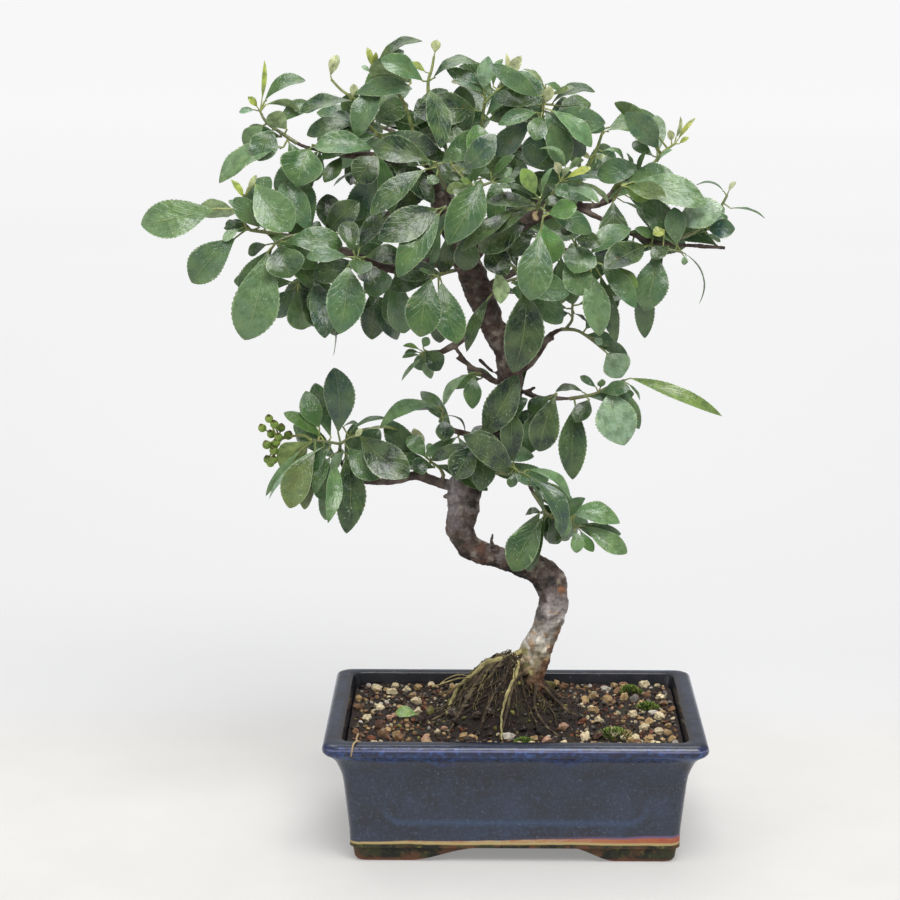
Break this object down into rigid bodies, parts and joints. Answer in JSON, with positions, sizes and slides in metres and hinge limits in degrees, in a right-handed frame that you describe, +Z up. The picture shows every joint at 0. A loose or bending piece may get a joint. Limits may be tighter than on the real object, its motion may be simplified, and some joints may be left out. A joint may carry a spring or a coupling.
{
  "type": "bonsai in pot",
  "caption": "Pyracantha bonsai with a bent trunk, spread crown of small toothed leaves and green berries, in a blue glazed rectangular footed pot.",
  "frame": {"origin": "centre of the underside of the whole object's box, on the plane the feet stand on", "axes": "+Z up; X along the pot's long side, +X to the right as the front is seen; +Y from the front to the back"},
  "size_m": [0.2708, 0.149, 0.3603],
  "materials": {
    "blue_glaze": "glossy dark blue glaze, thinner and brighter under the rim",
    "screen_mesh": "matt black mesh",
    "soil_mix": "damp dark mix with pale grit",
    "bark": "matt grey-brown bark",
    "leaf_dark": "glossy dark green leaf",
    "leaf_mid": "satin green leaf",
    "leaf_bright": "satin bright green leaf",
    "leaf_pale": "satin grey-green leaf",
    "berry_skin": "satin unripe green",
    "moss": "matt moss",
    "dry_root": "matt straw"
  },
  "bodies": {
    "root": {"back_spray_left": "leaf_mid", "back_spray_left_low": "leaf_mid", "back_spray_middle": "leaf_mid", "back_spray_right": "leaf_mid", "back_spray_right_low": "leaf_mid", "back_spray_top": "leaf_mid", "back_spray_top_left": "leaf_mid", "back_spray_top_right": "leaf_mid", "berry_bunch": "berry_skin", "drain_screen_left": "screen_mesh", "drain_screen_right": "screen_mesh", "dried_root": "dry_root", "fallen_leaf": "leaf_bright", "moss_tuft_1": "moss", "moss_tuft_2": "moss", "moss_tuft_3": "moss", "moss_tuft_4": "moss", "pot": "blue_glaze", "soil": "soil_mix", "spray_centre_knot": "leaf_mid", "spray_crown_right": "leaf_dark", "spray_cut_limb": "leaf_bright", "spray_front_green": "leaf_mid", "spray_front_middle": "leaf_mid", "spray_knot_right": "leaf_pale", "spray_left_arching": "leaf_bright", "spray_left_hanging": "leaf_mid", "spray_left_heart": "leaf_mid", "spray_left_inner": "leaf_dark", "spray_left_low": "leaf_dark", "spray_left_of_knot": "leaf_pale", "spray_left_rosette": "leaf_mid", "spray_left_tip": "leaf_mid", "spray_left_under": "leaf_dark", "spray_lower_knot": "leaf_mid", "spray_lower_left_inner": "leaf_dark", "spray_lower_left_rosette": "leaf_dark", "spray_lower_right": "leaf_pale", "spray_right_drooping": "leaf_dark", "spray_right_end": "leaf_pale", "spray_right_hanging": "leaf_dark", "spray_right_long_leaf": "leaf_bright", "spray_right_low": "leaf_mid", "spray_right_shoulder": "leaf_mid", "spray_right_tip": "leaf_pale", "spray_right_twig": "leaf_pale", "spray_right_upper_tip": "leaf_pale", "spray_top_left": "leaf_dark", "spray_top_middle": "leaf_dark", "spray_top_right_middle": "leaf_mid", "spray_trunk_cover": "leaf_dark", "spray_trunk_middle": "leaf_dark", "spray_twig_left": "leaf_dark", "spray_twig_middle": "leaf_bright", "spray_upper_left": "leaf_mid", "spray_upper_left_tip": "leaf_mid", "spray_upper_left_top": "leaf_dark", "wood": "bark"}
  },
  "joints": []
}
